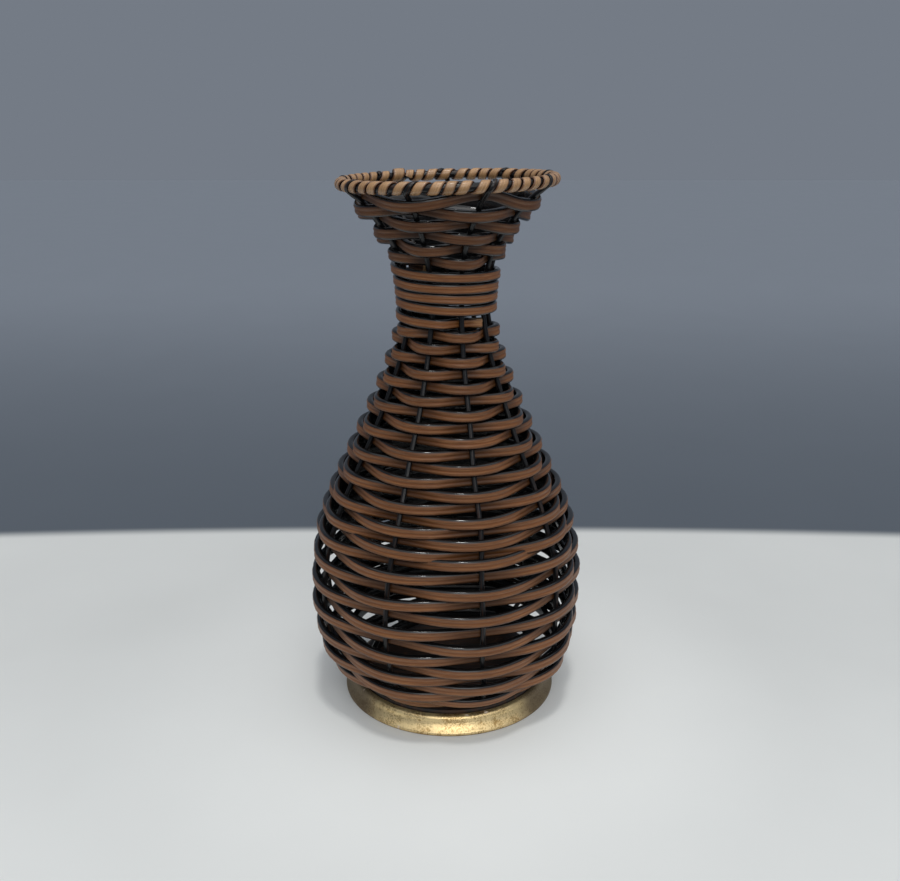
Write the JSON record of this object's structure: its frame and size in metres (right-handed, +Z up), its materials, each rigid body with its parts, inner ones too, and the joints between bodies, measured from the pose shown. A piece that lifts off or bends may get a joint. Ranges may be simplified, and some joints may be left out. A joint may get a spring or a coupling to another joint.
{
  "type": "woven vase",
  "caption": "Woven table vase with a full belly, a bound narrow neck and a flared mouth with a lashed rim, standing on a round foot.",
  "frame": {"origin": "centre of the foot's underside", "axes": "+Z up along the vase's axis, -Y towards the viewer's side of the picture, +X to the viewer's right"},
  "size_m": [0.1302, 0.1299, 0.2535],
  "materials": {
    "gold_foot": "gold paint, grainy satin, a little chipped at its edges",
    "stained_board": "black stain, satin",
    "black_stake": "black, glossy",
    "brown_strand": "brown face with two low ridges, glossy black edges and back",
    "pale_strip": "pale tan, fine grain, soft gloss"
  },
  "bodies": {
    "root": {"foot": "gold_foot", "base_board": "stained_board", "stake_1": "black_stake", "stake_2": "black_stake", "stake_3": "black_stake", "stake_4": "black_stake", "stake_5": "black_stake", "stake_6": "black_stake", "stake_7": "black_stake", "stake_8": "black_stake", "stake_9": "black_stake", "body_weaver": "brown_strand", "neck_binding": "brown_strand", "flare_weaver": "brown_strand", "rim_hoop": "black_stake", "rim_lashing": "pale_strip"}
  },
  "joints": []
}
